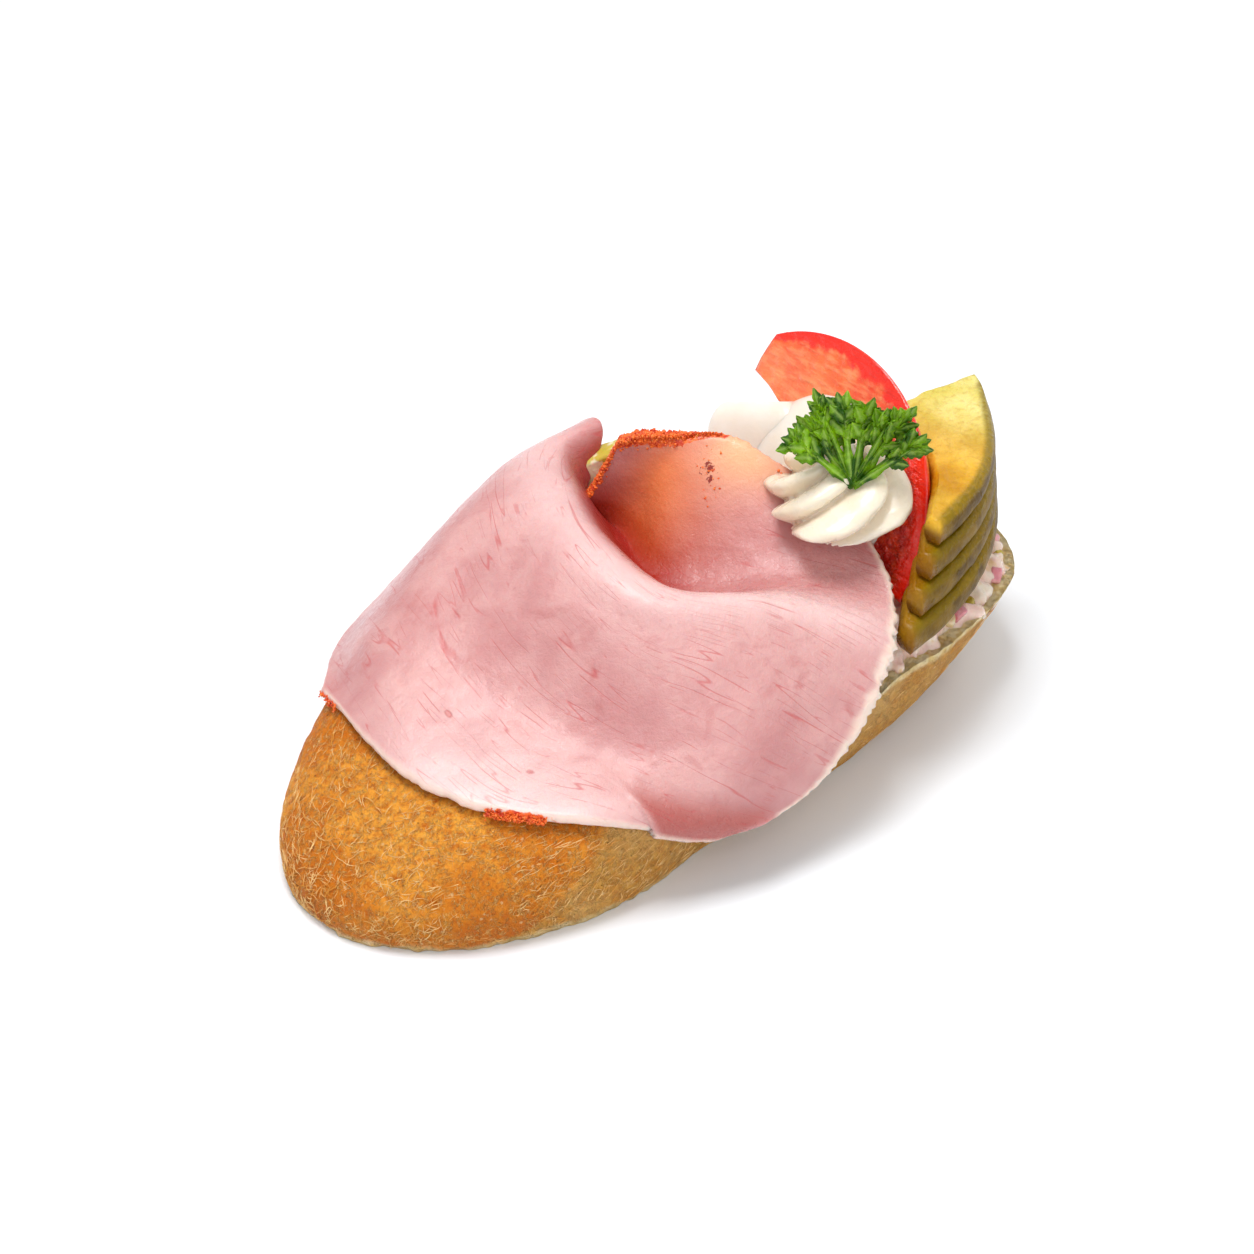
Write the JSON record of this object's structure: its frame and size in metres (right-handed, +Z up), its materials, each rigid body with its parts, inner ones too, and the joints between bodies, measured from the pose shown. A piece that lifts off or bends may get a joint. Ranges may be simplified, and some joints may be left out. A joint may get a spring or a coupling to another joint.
{
  "type": "open sandwich",
  "caption": "Open sandwich on an oblique slice of long white loaf, with salad spread, folded ham, egg, tomato, gherkin, mayonnaise and parsley.",
  "frame": {"origin": "on the flat underside of the bread, near its middle", "axes": "+Z up from the plate, +X along the slice from the domed heel to the cut tip, -Y towards the pale side of the loaf"},
  "size_m": [0.1218, 0.0783, 0.0549],
  "materials": {
    "bread": "matte, browned crust",
    "salad": "moist, creamy",
    "ham": "moist satin",
    "egg_white": "smooth, soft gloss",
    "cheese": "waxy",
    "tomato": "wet gloss",
    "gherkin": "wet gloss",
    "mayonnaise": "creamy gloss",
    "parsley": "leafy satin"
  },
  "bodies": {
    "root": {"bread": "bread", "salad": "salad", "ham_slice": "ham", "egg_cap": "egg_white", "egg_wedge": "egg_white", "cheese_wedge": "cheese", "tomato_wedge": "tomato", "gherkin_slice_1": "gherkin", "gherkin_slice_2": "gherkin", "gherkin_slice_3": "gherkin", "gherkin_slice_4": "gherkin", "mayonnaise": "mayonnaise", "parsley": "parsley"}
  },
  "joints": []
}
